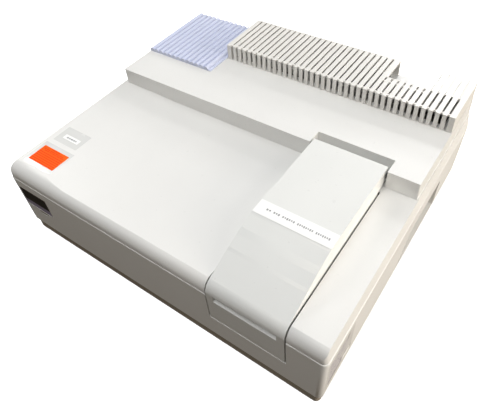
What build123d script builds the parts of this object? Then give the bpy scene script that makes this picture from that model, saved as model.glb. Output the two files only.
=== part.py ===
from build123d import *
import os
from math import atan, cos, degrees, radians, sin

os.makedirs("parts", exist_ok=True)

# Bench-top double-beam spectrophotometer, in millimetres.
# The origin is on the bench top, below the middle of the rear hood; +X is to the user's right,
# -Y faces the user and +Z is up.

# ------------------------------------------------------------------ driving dimensions
seam_left, seam_right = -333.0, 325.0     # housing at the seam
half_depth = 280.0
foot_height = 4.0
tray_top = 26.0
seam_z = 141.0            # lower housing meets top cover
deck_z = 166.0            # flat working deck
hood_z = 201.0            # raised rear hood
top_z = 233.0             # top of the vent grille
wall = 3.0
corner_round = 9.0
edge_break = 1.0          # chamfer on the housing's upper edges
seam_step = 0.8           # cover's set-back and open joint at the seam
front_round = 22.4
hood_front_y = 24.0
hood_half_width = 318.0

lid_left, lid_right = 127.8, 260.8
lid_gap = 2.3             # black gap round the lid
lid_top = 203.0
lid_bottom = 160.5
apron_bottom = 78.5
apron_depth = 18.0
hinge_y, hinge_z = 30.0, 188.0
hinge_pin_radius = 3.0
bush_radius = 5.5
running_fit = 0.05        # radial clearance of every shaft and pin

beam_z = 95.0
sample_y, reference_y = -130.0, -60.0
bench_low, bench_top = 40.0, 50.0
tub_floor = 62.0
cell_size = 12.5          # standard square cell
cell_height = 45.0
cell_beam_height = 15.0   # beam centre above the cell's bottom

cut_left = lid_left - lid_gap
cut_right = lid_right + lid_gap
cell_bottom = beam_z - cell_beam_height


# ------------------------------------------------------------------ helpers
def save(piece, name):
    """Label a finished piece and write its STEP file."""
    piece.part.label = name
    export_step(piece.part, f"parts/{name}.step")


def block(low, high, mode=Mode.ADD):
    """Box between its lowest and its highest corner, in the piece being built."""
    size = [top - bottom for bottom, top in zip(low, high)]
    with Locations(low):
        Box(*size, align=(Align.MIN, Align.MIN, Align.MIN), mode=mode)


def rod(start, direction, radius, length, mode=Mode.ADD):
    """Cylinder from a start point along a direction, in the piece being built."""
    with Locations(Plane(origin=start, z_dir=direction)):
        Cylinder(radius, length, align=(Align.CENTER, Align.CENTER, Align.MIN), mode=mode)


def tapered_block(low_z, low_sides, high_z, high_sides, corner, inset=0.0):
    """Upright block with rounded corners; sides are its left, right, front and rear at each height."""
    with BuildPart() as shape:
        for height, (left, right, front, rear) in ((low_z, low_sides), (high_z, high_sides)):
            with BuildSketch(Plane.XY.offset(height)):
                with Locations(((left + right) / 2, (front + rear) / 2)):
                    RectangleRounded(right - left - 2 * inset, rear - front - 2 * inset, corner)
        loft(ruled=True)
    return shape.part


def outline(points, rounds, plane):
    """Closed profile on a plane; rounds gives a corner radius by its point's index."""
    with BuildSketch(plane) as profile:
        with BuildLine():
            Polyline(*points, close=True)
        make_face()
        for index, radius in rounds.items():
            fillet(profile.vertices().sort_by_distance(points[index])[0], radius)
    return profile.sketch


def slab(points, plane, thickness, rounds=None, mode=Mode.ADD):
    """Extrude a closed outline, in the piece being built."""
    extrude(outline(points, rounds or {}, plane), amount=thickness, mode=mode)


# ------------------------------------------------------------------ base tray and feet
tray_sides = (-324.0, 317.0, -278.5, 278.5)
tray_wall = 2.5
tray_floor = foot_height + tray_wall
board_z = 26.0            # underside of the main circuit board
foot_places = [(side * 268, end * 232) for side in (-1, 1) for end in (-1, 1)]
screw_places = [(side * 309, y) for side in (-1, 1) for y in (-225, -60, 200)]
screw_radius = 2.0

with BuildPart() as base_tray:
    add(tapered_block(foot_height, tray_sides, tray_top, tray_sides, corner_round))
    add(
        tapered_block(tray_floor, tray_sides, tray_top + 1, tray_sides, corner_round - tray_wall, tray_wall),
        mode=Mode.SUBTRACT,
    )
    with Locations(*[(x, y, foot_height) for x, y in screw_places]):
        Cylinder(screw_radius, 10, mode=Mode.SUBTRACT)
    with Locations((170, 60, foot_height)):
        with GridLocations(16, 50, 9, 3):
            Box(5, 38, 10, mode=Mode.SUBTRACT)
    with Locations((-12.5, 189, tray_floor)):
        with GridLocations(230, 90, 2, 2):
            Cylinder(3, board_z - tray_floor, align=(Align.CENTER, Align.CENTER, Align.MIN))
save(base_tray, "base_tray")

with BuildPart() as rubber_feet:
    with Locations(*[(x, y, 0) for x, y in foot_places]):
        Cylinder(17, foot_height, align=(Align.CENTER, Align.CENTER, Align.MIN))
    chamfer(rubber_feet.edges().group_by(Axis.Z)[0], 1)
save(rubber_feet, "rubber_feet")

# ------------------------------------------------------------------ lower housing
housing_low_sides = (-331.0, 321.0, -half_depth, half_depth)
housing_high_sides = (seam_left, seam_right, -half_depth, half_depth)
housing_rim_sides = (seam_left + edge_break, seam_right - edge_break, -half_depth + edge_break, half_depth - edge_break)
pocket_bottoms = ((seam_left + 48, -1), (seam_right - 48, 1))
pocket_reach = 53.0       # from the pocket's bottom to well outside the housing
pocket_shell = 46.0       # from the outer face of the pocket's bottom to inside the housing's wall
pocket_outline = [(-15, 29), (156, 29), (156, 97), (14, 97)]
pocket_shell_outline = [(-19, 26), (159, 26), (159, 100), (11, 100)]
rear_opening = ((-140, 41), (300, 129))
badge_recess = 1.2
badge_face_y = -half_depth
apron_ledge = 77.0        # bottom of the cut-out for the lid's apron

with BuildPart() as lower_housing:
    add(tapered_block(tray_top, housing_low_sides, seam_z - edge_break, housing_high_sides, corner_round))
    add(tapered_block(seam_z - edge_break, housing_high_sides, seam_z, housing_rim_sides, corner_round))
    add(
        tapered_block(
            tray_top + wall, housing_low_sides, seam_z + 1, housing_high_sides, corner_round - wall, wall,
        ),
        mode=Mode.SUBTRACT,
    )
    block((-306, -264, tray_top - 1), (306, 264, tray_top + wall + 1), Mode.SUBTRACT)
    for bottom_x, side in pocket_bottoms:
        slab(pocket_shell_outline, Plane.YZ.offset(bottom_x - side * wall), side * pocket_shell, {3: 28, 2: 9})
        slab(pocket_outline, Plane.YZ.offset(bottom_x), side * pocket_reach, {3: 25, 2: 6}, Mode.SUBTRACT)
    # front cut-out for the lid's apron, and the rear opening for the connector panel
    block((cut_left, -half_depth - 1, apron_ledge), (cut_right, -half_depth + 5, seam_z + 1), Mode.SUBTRACT)
    slab([(-half_depth, apron_ledge), (-half_depth - 1, apron_ledge), (-half_depth - 1, apron_ledge - edge_break - 1),
          (-half_depth + edge_break, apron_ledge)],
         Plane.YZ.offset(cut_left), cut_right - cut_left, mode=Mode.SUBTRACT)
    (panel_left, panel_low), (panel_right, panel_high) = rear_opening
    block((panel_left, 272, panel_low), (panel_right, half_depth + 1, panel_high), Mode.SUBTRACT)
    # shallow recesses for the front badge and the status window
    block((-321, badge_face_y - 1, 76), (-246, badge_face_y + badge_recess, 121), Mode.SUBTRACT)
    block((-288, badge_face_y - 1, 68), (-262, badge_face_y + badge_recess, 72), Mode.SUBTRACT)
    with Locations(*[(x, y, tray_top) for x, y in screw_places]):
        Cylinder(screw_radius, 12, mode=Mode.SUBTRACT)
save(lower_housing, "lower_housing")

with BuildPart() as housing_screws:
    with Locations(*[(x, y, foot_height) for x, y in screw_places]):
        Cylinder(screw_radius, tray_top + wall - foot_height, align=(Align.CENTER, Align.CENTER, Align.MIN))
        Cylinder(4, 2.2, align=(Align.CENTER, Align.CENTER, Align.MAX))
save(housing_screws, "housing_screws")

# ------------------------------------------------------------------ top cover
cover_front, cover_rear = -half_depth + seam_step, half_depth - seam_step
cover_low = (seam_left + seam_step, seam_right - seam_step)
deck_sides = (-327.0, 320.5)
inner_overrun = 30.0      # inside, the cover's corners stay square
border_rise = 1.6
border_z = deck_z + border_rise


def deck_block(inset, height):
    """Deck block of the cover, rounded along its front edge and pulled in by the inset."""
    front, rear = cover_front + inset, cover_rear - inset
    overrun = inner_overrun + inset if inset else 0
    ends = (cover_front - overrun, cover_rear + overrun)
    with BuildPart() as shape:
        slab(
            [(front, seam_z - inset), (front, height), (rear, height), (rear, seam_z - inset)],
            Plane.YZ.offset(seam_left), seam_right - seam_left, {1: front_round - inset},
        )
        add(
            tapered_block(seam_z - inset, (*cover_low, *ends), border_z, (*deck_sides, *ends), corner_round, inset),
            mode=Mode.INTERSECT,
        )
    return shape.part


def hood_block(inset):
    """Raised rear hood, pulled in by the inset."""
    ends = (hood_front_y, cover_rear)
    low_sides = (-hood_half_width - 0.8, hood_half_width + 0.8, *ends)
    high_sides = (-hood_half_width, hood_half_width, *ends)
    return tapered_block(seam_z + 9, low_sides, hood_z - inset, high_sides, max(2 - inset, 0.5), inset)


notch_left, notch_right, notch_rear = 124.0, 264.5, 54.0
lamp_opening = ((-308, 116), (-163, 268))
border_edge, floor_edge = -242.0, -192.0
rim_depth = 1.4

with BuildPart() as top_cover:
    add(deck_block(0, border_z))
    add(hood_block(0))
    add(deck_block(wall, deck_z - wall), mode=Mode.SUBTRACT)
    add(hood_block(wall), mode=Mode.SUBTRACT)
    # the deck's floor lies a little below its left border, with a gentle slope between them
    slab([(border_edge, border_z), (floor_edge, deck_z), (seam_right + 5, deck_z),
          (seam_right + 5, deck_z + 9), (border_edge, deck_z + 9)],
         Plane.XZ.offset(-hood_front_y), half_depth + hood_front_y + 1, mode=Mode.SUBTRACT)
    # the rim stands back from the seam, which leaves an open joint all round
    with BuildPart(mode=Mode.SUBTRACT):
        block((seam_left - 1, -half_depth - 1, seam_z), (seam_right + 1, half_depth + 1, seam_z + seam_step))
        add(
            tapered_block(seam_z, (*cover_low, cover_front, cover_rear), seam_z + seam_step,
                          (*cover_low, cover_front, cover_rear), corner_round - rim_depth, rim_depth),
            mode=Mode.SUBTRACT,
        )
    # rear notch that the lid turns in, with its own walls
    block((notch_left - wall, hood_front_y, deck_z - wall), (notch_right + wall, notch_rear + wall, hood_z))
    block((notch_left, hood_front_y - 5, deck_z), (notch_right, notch_rear, hood_z + 1), Mode.SUBTRACT)
    # opening of the sample compartment
    block((cut_left, -half_depth - 1, seam_z - 9), (cut_right, 10, border_z + 1), Mode.SUBTRACT)
    # air openings under the grille, and the access opening under the lamp cover
    block((-140, 176, hood_z - 9), (165, 266, hood_z + 1), Mode.SUBTRACT)
    block((165, 176, hood_z - 9), (300, 206, hood_z + 1), Mode.SUBTRACT)
    (lamp_x0, lamp_y0), (lamp_x1, lamp_y1) = lamp_opening
    block((lamp_x0, lamp_y0, hood_z - 9), (lamp_x1, lamp_y1, hood_z + 1), Mode.SUBTRACT)
    for start, direction in (((notch_left - 9, hinge_y, hinge_z), (1, 0, 0)),
                             ((notch_right + 9, hinge_y, hinge_z), (-1, 0, 0))):
        rod(start, direction, bush_radius, 10, Mode.SUBTRACT)
save(top_cover, "top_cover")

# ------------------------------------------------------------------ vent grille
grille_left, grille_right = -150.0, 317.0
grille_front, grille_rear = 162.0, 278.0
slat_count = 39
slat_pitch = (grille_right - grille_left) / slat_count
slot_width = 3.5
front_slot_width = 4.8
skin = 4.0
notch_x0, notch_x1, notch_y = 175.0, 254.0, 217.0
bridge = 3.5
second_bridge_y = 203.0
slot_places = [grille_left + slat_pitch * index for index in range(1, slat_count)]


def slots(places, front, rear, low, high, width=slot_width):
    """Cut a row of narrow slots that run from front to rear."""
    with Locations(*[(x, (front + rear) / 2, (low + high) / 2) for x in places]):
        Box(width, rear - front, high - low, mode=Mode.SUBTRACT)


with BuildPart() as vent_grille:
    block((grille_left, grille_front, hood_z), (grille_right, grille_rear, top_z))
    block((notch_x0, notch_y, hood_z), (notch_x1, grille_rear, top_z), Mode.SUBTRACT)
    block((grille_left + wall, grille_front + skin, hood_z),
          (notch_x0 - wall, grille_rear - wall, top_z - skin), Mode.SUBTRACT)
    block((notch_x0 - wall, notch_y + wall, hood_z), (notch_x0, grille_rear - wall, top_z - skin), Mode.SUBTRACT)
    block((notch_x0 - wall, grille_front + skin, hood_z),
          (notch_x1 + wall, notch_y - wall, top_z - skin), Mode.SUBTRACT)
    block((notch_x1 + wall, grille_front + skin, hood_z),
          (grille_right - wall, grille_rear - wall, top_z - skin), Mode.SUBTRACT)
    slots(slot_places, grille_front - 1, grille_front + skin, hood_z + 1.2, top_z + 1, front_slot_width)
    long_slots = [x for x in slot_places if x < notch_x0 - 5]
    strip_slots = [x for x in slot_places if notch_x0 - 5 < x < notch_x1]
    end_slots = [x for x in slot_places if x > notch_x1]
    slot_start = grille_front + skin + bridge
    slots(long_slots, slot_start, grille_rear - bridge, top_z - skin, top_z)
    slots(strip_slots, slot_start, second_bridge_y, top_z - skin, top_z)
    slots(strip_slots, second_bridge_y + bridge, notch_y - 2, top_z - skin, top_z)
    slots(end_slots, slot_start, notch_y, top_z - skin, top_z)
    slots(end_slots, notch_y, grille_rear, top_z - 1.2, top_z)
save(vent_grille, "vent_grille")

# ------------------------------------------------------------------ ribbed lamp cover
cover_x0, cover_x1 = -318.0, -153.0
cover_y0, cover_y1 = 105.0, 278.0
cover_plate = 1.8
rib_count = 13
flange_width = 6.0
rib_pitch = (cover_x1 - flange_width - cover_x0) / rib_count
rib_height = 6.0

with BuildPart() as lamp_cover:
    block((cover_x0, cover_y0, hood_z), (cover_x1, cover_y1, hood_z + cover_plate))
    with BuildSketch(Plane.XZ.offset(-cover_y1)):
        for index in range(rib_count):
            with Locations((cover_x0 + rib_pitch * (index + 0.5), hood_z + cover_plate)):
                Ellipse(rib_pitch / 2 - 0.2, rib_height)
        with Locations(((cover_x0 + cover_x1) / 2, hood_z - 20 + cover_plate / 2)):
            Rectangle(cover_x1 - cover_x0, 40, mode=Mode.SUBTRACT)
    extrude(amount=cover_y1 - cover_y0)
    # two locating tongues drop into the access opening
    for tongue_y in (lamp_y0 + 0.4, lamp_y1 - 2.4):
        block((lamp_x0 + 30, tongue_y, hood_z - 6), (lamp_x1 - 30, tongue_y + 2, hood_z + 1))
save(lamp_cover, "lamp_cover")

# ------------------------------------------------------------------ sample compartment lid
lid_rear_y = 34.5
lid_step_y, lid_step_z = 5.0, 168.0
lid_profile = [
    (lid_rear_y, lid_step_z), (lid_rear_y, lid_top), (-154, lid_top), (-190, 194), (-219, 184),
    (-half_depth, 160.3), (-half_depth, apron_bottom), (-half_depth + apron_depth, apron_bottom),
    (-half_depth + apron_depth, lid_bottom), (lid_step_y, lid_bottom), (lid_step_y, lid_step_z),
]
lid_rounds = {1: 3, 2: 45, 3: 150, 4: 150, 5: front_round, 6: 2}
lid_width = lid_right - lid_left
handle_left, handle_right = 140.0, 248.0
handle_outline = [
    (-half_depth - 2, 131.6), (-half_depth + 4, 133), (-half_depth + 15, 140), (-half_depth + 15, 149),
    (-half_depth - 2, 145.8),
]
handle_walls = [(-279, 124), (-262, 124), (-262, 152), (-273, 152), (-278.5, 143)]

with BuildPart() as lid_shell:
    slab(lid_profile, Plane.YZ.offset(lid_left), lid_width, lid_rounds)
    with BuildSketch(Plane.YZ.offset(lid_left + wall)) as lid_hollow:
        add(outline(lid_profile, {5: front_round}, Plane.XY))
        offset(amount=-wall, mode=Mode.REPLACE)
    extrude(amount=lid_width - 2 * wall, mode=Mode.SUBTRACT)
    block((lid_left + wall, -half_depth + apron_depth + wall, lid_bottom - 1),
          (lid_right - wall, lid_step_y - wall, lid_bottom + wall + 1), Mode.SUBTRACT)
    # finger slot in the apron, with its own walls
    slab(handle_walls, Plane.YZ.offset(handle_left - wall), handle_right - handle_left + 2 * wall)
    slab(handle_outline, Plane.YZ.offset(handle_left), handle_right - handle_left, mode=Mode.SUBTRACT)
    for start, direction in (((lid_left - 1, hinge_y, hinge_z), (1, 0, 0)),
                             ((lid_right + 1, hinge_y, hinge_z), (-1, 0, 0))):
        rod(start, direction, hinge_pin_radius, 9, Mode.SUBTRACT)
save(lid_shell, "lid_shell")

with BuildPart() as lid_liner:
    block((lid_left + wall, -half_depth + apron_depth + wall, lid_bottom),
          (lid_right - wall, lid_step_y - wall, lid_bottom + 2.5))
    with Locations(((lid_left + lid_right) / 2, sample_y, lid_bottom + 2.5),
                   ((lid_left + lid_right) / 2, reference_y, lid_bottom + 2.5)):
        Box(90, 3, 12, align=(Align.CENTER, Align.CENTER, Align.MIN))
save(lid_liner, "lid_liner")

with BuildPart() as lid_hinge_pins:
    rod((notch_left - 4, hinge_y, hinge_z), (1, 0, 0), hinge_pin_radius, lid_left + 6 - notch_left + 4)
    rod((notch_right + 4, hinge_y, hinge_z), (-1, 0, 0), hinge_pin_radius, notch_right + 4 - lid_right + 6)
save(lid_hinge_pins, "lid_hinge_pins")

with BuildPart() as hinge_bushes:
    for edge, away in ((notch_left, 1), (notch_right, -1)):
        rod((edge - 4 * away, hinge_y, hinge_z), (away, 0, 0), bush_radius, 4)
        rod((edge, hinge_y, hinge_z), (away, 0, 0), 5.8, 2.2)
        rod((edge - 5 * away, hinge_y, hinge_z), (away, 0, 0), hinge_pin_radius + running_fit, 9, Mode.SUBTRACT)
save(hinge_bushes, "hinge_bushes")

seal_low = 159.4
with BuildPart() as lid_seal:
    block((lid_left + 1, -half_depth + apron_depth + 1, seal_low), (lid_right - 1, lid_step_y - 1, lid_bottom))
    block((lid_left + 6, -250, seal_low), (lid_right - 6, lid_step_y - 6, lid_bottom), Mode.SUBTRACT)
save(lid_seal, "lid_seal")

with BuildPart() as lid_label:
    block((lid_left, -152, lid_top), (lid_right, -128, lid_top + 0.25))
save(lid_label, "lid_label")

# ------------------------------------------------------------------ sample compartment tub
well_left, well_right = 133.0, 255.0
rim_left, rim_right = cut_left - wall, cut_right + wall
tub_front, tub_rear = -258.0, 12.0
cheek_round = 17.3
ledge_z = 159.0
cover_inside_z = deck_z - wall
window_places = [(x, y) for x in (well_left - wall, well_right) for y in (sample_y, reference_y)]
window_radius = 9.0

with BuildPart() as sample_tub:
    block((well_left - wall, tub_front, tub_floor), (well_right + wall, tub_rear, ledge_z))
    block((rim_left, tub_front, ledge_z - wall), (rim_right, tub_rear, cover_inside_z))
    block((well_left, tub_front + wall, tub_floor + wall), (well_right, tub_rear - wall, cover_inside_z + 1),
          Mode.SUBTRACT)
    block((cut_left, tub_front - 1, ledge_z), (cut_right, tub_rear - wall, cover_inside_z + 1), Mode.SUBTRACT)
    block((well_left, tub_front - 1, 80), (well_right, tub_front + wall + 1, cover_inside_z + 1), Mode.SUBTRACT)
    # sill and cheeks that close the gap to the front of the housing
    block((rim_left, -half_depth + wall, 74), (rim_right, tub_front, 77))
    for cheek_x in (rim_left, cut_right):
        cheek_front, cheek_top = cover_front + wall + 0.8, cover_inside_z - 0.8
        slab([(cheek_front, 74), (tub_front, 74), (tub_front, cheek_top), (cheek_front, cheek_top)],
             Plane.YZ.offset(cheek_x), wall, {3: cheek_round})
    for x, y in window_places:
        outward = -1 if x < well_left else 1
        face_x = x if outward < 0 else x + wall
        rod((face_x, y, beam_z), (outward, 0, 0), 13, 3)
        rod((face_x + outward * 4, y, beam_z), (-outward, 0, 0), 7.5, wall + 2, Mode.SUBTRACT)
        rod((x, y, beam_z), (1, 0, 0), window_radius, wall, Mode.SUBTRACT)
save(sample_tub, "sample_tub")

with BuildPart() as quartz_windows:
    for x, y in window_places:
        rod((x, y, beam_z), (1, 0, 0), window_radius, wall)
save(quartz_windows, "quartz_windows")

# ------------------------------------------------------------------ cell holders and cells
holder_x = (well_left + well_right) / 2
holder_half = 17.0
holder_top = 108.0
plate_top = tub_floor + wall + 6
cell_gap = 0.3

with BuildPart() as cell_holder_base:
    block((holder_x - 34, sample_y - 35, tub_floor + wall), (holder_x + 34, reference_y + 35, plate_top))
    with Locations((holder_x, (sample_y + reference_y) / 2, plate_top)):
        with GridLocations(54, 124, 2, 2):
            Hole(2.5)
save(cell_holder_base, "cell_holder_base")

with BuildPart() as holder_thumbscrews:
    with Locations((holder_x, (sample_y + reference_y) / 2, plate_top)):
        with GridLocations(54, 124, 2, 2):
            Cylinder(5, 8, align=(Align.CENTER, Align.CENTER, Align.MIN))
            Cylinder(2.5, 6, align=(Align.CENTER, Align.CENTER, Align.MAX))
save(holder_thumbscrews, "holder_thumbscrews")

for place_name, cell_y in (("sample", sample_y), ("reference", reference_y)):
    with BuildPart() as cell_holder:
        block((holder_x - holder_half, cell_y - holder_half, plate_top),
              (holder_x + holder_half, cell_y + holder_half, holder_top))
        bore = cell_size / 2 + cell_gap
        block((holder_x - bore, cell_y - bore, cell_bottom - cell_gap),
              (holder_x + bore, cell_y + bore, holder_top + 1), Mode.SUBTRACT)
        rod((holder_x - holder_half - 1, cell_y, beam_z), (1, 0, 0), 5, 2 * holder_half + 2, Mode.SUBTRACT)
        chamfer(cell_holder.faces().sort_by(Axis.Z)[-1].outer_wire().edges(), 1)
    save(cell_holder, f"{place_name}_cell_holder")

    with BuildPart() as cell:
        half = cell_size / 2
        block((holder_x - half, cell_y - half, cell_bottom), (holder_x + half, cell_y + half, cell_bottom + cell_height))
        block((holder_x - 5, cell_y - 5, cell_bottom + 1.5), (holder_x + 5, cell_y + 5, cell_bottom + cell_height + 1),
              Mode.SUBTRACT)
    save(cell, f"{place_name}_cell")

# ------------------------------------------------------------------ optical bench
grating_x, grating_y = -125.0, -75.0
bearing_radius = 10.0
shaft_radius = 4.0
mount_places = [(x, y) for x in (-240, 0, 250) for y in (-230, 100)]
boss_places = [(x, y) for x in (150, 240) for y in (-230, -10)]

with BuildPart() as optical_bench:
    with BuildSketch(Plane.XY.offset(bench_low)):
        with Locations((0, -65)):
            Rectangle(530, 370)
        with Locations((-207.5, 180)):
            Rectangle(115, 170)
        with Locations((285, -115)):
            Rectangle(54, 170)
    extrude(amount=bench_top - bench_low)
    with Locations(*[(x, y, bench_top) for x, y in boss_places]):
        Cylinder(8, tub_floor - bench_top, align=(Align.CENTER, Align.CENTER, Align.MIN))
    rod((grating_x, grating_y, bench_low - 1), (0, 0, 1), bearing_radius, 12, Mode.SUBTRACT)
save(optical_bench, "optical_bench")

with BuildPart() as bench_isolators:
    with Locations(*[(x, y, tray_floor) for x, y in mount_places]):
        Cylinder(12, bench_low - tray_floor, align=(Align.CENTER, Align.CENTER, Align.MIN))
save(bench_isolators, "bench_isolators")

# ------------------------------------------------------------------ monochromator
mono_low, mono_high = (-245, -240), (-10, -30)
mono_top = 140.0
mono_wall = 4.0
entrance_x, exit_x = -214.0, -40.0

with BuildPart() as monochromator_housing:
    block((*mono_low, bench_top), (*mono_high, mono_top))
    block((mono_low[0] + mono_wall, mono_low[1] + mono_wall, bench_top - 1),
          (mono_high[0] - mono_wall, mono_high[1] - mono_wall, mono_top + 1), Mode.SUBTRACT)
    for slit_x in (entrance_x, exit_x):
        rod((slit_x, mono_high[1] + 1, beam_z), (0, -1, 0), 6, mono_wall + 2, Mode.SUBTRACT)
save(monochromator_housing, "monochromator_housing")

with BuildPart() as monochromator_cover:
    block((mono_low[0] - 2, mono_low[1] - 2, mono_top), (mono_high[0] + 2, mono_high[1] + 2, mono_top + 3))
    fillet(monochromator_cover.edges().filter_by(Axis.Z), 4)
save(monochromator_cover, "monochromator_cover")

with BuildPart() as slit_plates:
    for slit_x in (entrance_x, exit_x):
        inner_y = mono_high[1] - mono_wall
        block((slit_x - 10, inner_y - 3, beam_z - 15), (slit_x + 10, inner_y, beam_z + 15))
        block((slit_x - 0.6, inner_y - 4, beam_z - 6), (slit_x + 0.6, inner_y + 1, beam_z + 6), Mode.SUBTRACT)
save(slit_plates, "slit_plates")

mirror_stand = [((-208, -226, beam_z), (0.2, 0.98, 0)), ((-45, -226, beam_z), (-0.2, 0.98, 0))]
mirror_radius = 23.0

with BuildPart() as grating_bearing:
    rod((grating_x, grating_y, 42), (0, 0, 1), bearing_radius, 18)
    rod((grating_x, grating_y, 41), (0, 0, 1), shaft_radius + running_fit, 20, Mode.SUBTRACT)
save(grating_bearing, "grating_bearing")

arm_radius = 40.0
roller_radius = 4.0
with BuildPart() as grating_mount:
    rod((grating_x, grating_y, 44), (0, 0, 1), shaft_radius, 18)
    rod((grating_x, grating_y, 62), (0, 0, 1), 24, 5)
    block((grating_x - 22, grating_y + 8, 67), (grating_x + 22, grating_y + 13, 116))
    block((grating_x - 10, grating_y - 4, 116), (grating_x + arm_radius + 4, grating_y + 13, 121))
    rod((grating_x + arm_radius, grating_y, 106), (0, 0, 1), roller_radius, 10)
save(grating_mount, "grating_mount")

with BuildPart() as diffraction_grating:
    block((grating_x - 20, grating_y, 72), (grating_x + 20, grating_y + 8, 112))
save(diffraction_grating, "diffraction_grating")

rod_z = 111.0
rod_radius = 3.0
rod_tip_y = grating_y - roller_radius - 0.5
with BuildPart() as push_rod:
    rod((grating_x + arm_radius, rod_tip_y, rod_z), (0, -1, 0), 4.5, 3)
    rod((grating_x + arm_radius, rod_tip_y, rod_z), (0, -1, 0), rod_radius, 136)
save(push_rod, "push_rod")

with BuildPart() as stepper_actuator:
    block((-103, -206, rod_z - 18), (-67, -170, rod_z + 18))
    fillet(stepper_actuator.edges().filter_by(Axis.Y), 4)
    rod((grating_x + arm_radius, -207, rod_z), (0, 1, 0), rod_radius + running_fit, 40, Mode.SUBTRACT)
save(stepper_actuator, "stepper_actuator")

# ------------------------------------------------------------------ filter wheel and chopper
mirror_x, mirror_y = entrance_x, 186.0      # lamp-changing mirror
wheel_hole_radius = 6.0
wheel_beam_radius = 22.0
motor_shaft_radius = 2.5
filter_centre = (entrance_x + wheel_beam_radius, 118.0, beam_z)

with BuildPart() as filter_wheel:
    rod(filter_centre, (0, 1, 0), 31, 3)
    rod((filter_centre[0], 102, beam_z), (0, 1, 0), motor_shaft_radius, 17)
    with Locations(Plane(origin=filter_centre, z_dir=(0, 1, 0), x_dir=(1, 0, 0))):
        with PolarLocations(wheel_beam_radius, 6):
            Cylinder(wheel_hole_radius, 10, mode=Mode.SUBTRACT)
save(filter_wheel, "filter_wheel")

with BuildPart() as optical_filters:
    with Locations(Plane(origin=filter_centre, z_dir=(0, 1, 0), x_dir=(1, 0, 0))):
        with PolarLocations(wheel_beam_radius, 5, start_angle=60, angular_range=300):
            Cylinder(wheel_hole_radius, 3, align=(Align.CENTER, Align.CENTER, Align.MIN))
save(optical_filters, "optical_filters")

chopper_centre = (12.0, 10.0 + wheel_beam_radius, beam_z)
with BuildPart() as chopper_wheel:
    rod(chopper_centre, (1, 0, 0), 30, 1.5)
    rod((-4, chopper_centre[1], beam_z), (1, 0, 0), motor_shaft_radius, 17)
    with BuildSketch(Plane(origin=(chopper_centre[0] - 1, *chopper_centre[1:]), x_dir=(0, 1, 0), z_dir=(1, 0, 0))):
        with PolarLocations(0, 2):
            with BuildLine():
                start_in, start_out = (12, 0), (31, 0)
                Line(start_in, start_out)
                CenterArc((0, 0), 31, 0, 90)
                Line((0, 31), (0, 12))
                CenterArc((0, 0), 12, 0, 90)
            make_face()
    extrude(amount=4, mode=Mode.SUBTRACT)
save(chopper_wheel, "chopper_wheel")

with BuildPart() as optics_motors:
    rod((filter_centre[0], 82, beam_z), (0, 1, 0), 14, 26)
    rod((-26, chopper_centre[1], beam_z), (1, 0, 0), 12, 24)
    rod((filter_centre[0], 100, beam_z), (0, 1, 0), motor_shaft_radius + running_fit, 9, Mode.SUBTRACT)
    rod((-6, chopper_centre[1], beam_z), (1, 0, 0), motor_shaft_radius + running_fit, 9, Mode.SUBTRACT)
    rod((mirror_x, mirror_y, bench_top + 2), (0, 0, 1), 12, 20)
    rod((mirror_x, mirror_y, 58), (0, 0, 1), motor_shaft_radius + running_fit, 20, Mode.SUBTRACT)
save(optics_motors, "optics_motors")

with BuildPart() as motor_brackets:
    block((-100, -200, bench_top), (-70, -176, rod_z - 18))
    block((filter_centre[0] - 10, 84, bench_top), (filter_centre[0] + 10, 106, 86))
    rod((filter_centre[0], 80, beam_z), (0, 1, 0), 14, 30, Mode.SUBTRACT)
    block((-22, chopper_centre[1] - 8, bench_top), (-6, chopper_centre[1] + 8, 88))
    rod((-30, chopper_centre[1], beam_z), (1, 0, 0), 12, 30, Mode.SUBTRACT)
save(motor_brackets, "motor_brackets")

fold_stands = [((exit_x, 10), (1, -1, 0)), ((60, 10), (-1, -1, 0)), ((60, reference_y), (1, 1, 0)),
               ((60, sample_y), (1, 1, 0))]
with BuildPart() as optical_mirrors:
    for place, facing in mirror_stand:
        face = Plane(origin=place, z_dir=facing)
        rod(face.from_local_coords((0, 0, 6)), facing, mirror_radius, 6)
        with Locations(face.from_local_coords((0, 0, 6 + 4 + 200))):
            Sphere(200, mode=Mode.SUBTRACT)
    for (x, y), facing in fold_stands:
        with Locations(Plane(origin=(x, y, beam_z), x_dir=(0, 0, 1), z_dir=facing)):
            Box(24, 24, 3, align=(Align.CENTER, Align.CENTER, Align.MAX))
save(optical_mirrors, "optical_mirrors")

with BuildPart() as mirror_mounts:
    for place, facing in mirror_stand:
        rod(place, facing, mirror_radius + 3, 6)
        block((place[0] - 14, place[1] - 7, bench_top), (place[0] + 14, place[1] + 11, beam_z - mirror_radius - 1))
    for (x, y), facing in fold_stands:
        with Locations(Plane(origin=(x, y, beam_z), x_dir=(0, 0, 1), z_dir=facing)):
            with Locations((0, 0, -3)):
                Box(28, 28, 4, align=(Align.CENTER, Align.CENTER, Align.MAX))
        back = Plane(origin=(x, y, bench_top), x_dir=(0, 0, 1), z_dir=facing).from_local_coords((0, 0, -5))
        rod(back, (0, 0, 1), 5, beam_z - 12 - bench_top)
        rod(back, (0, 0, 1), 10, 5)
save(mirror_mounts, "mirror_mounts")

# ------------------------------------------------------------------ lamp house
lamp_house_low, lamp_house_high = (-265, 150), (-158, 262)
deuterium_x, halogen_x, lamp_y = -240.0, -184.0, 230.0

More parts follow.
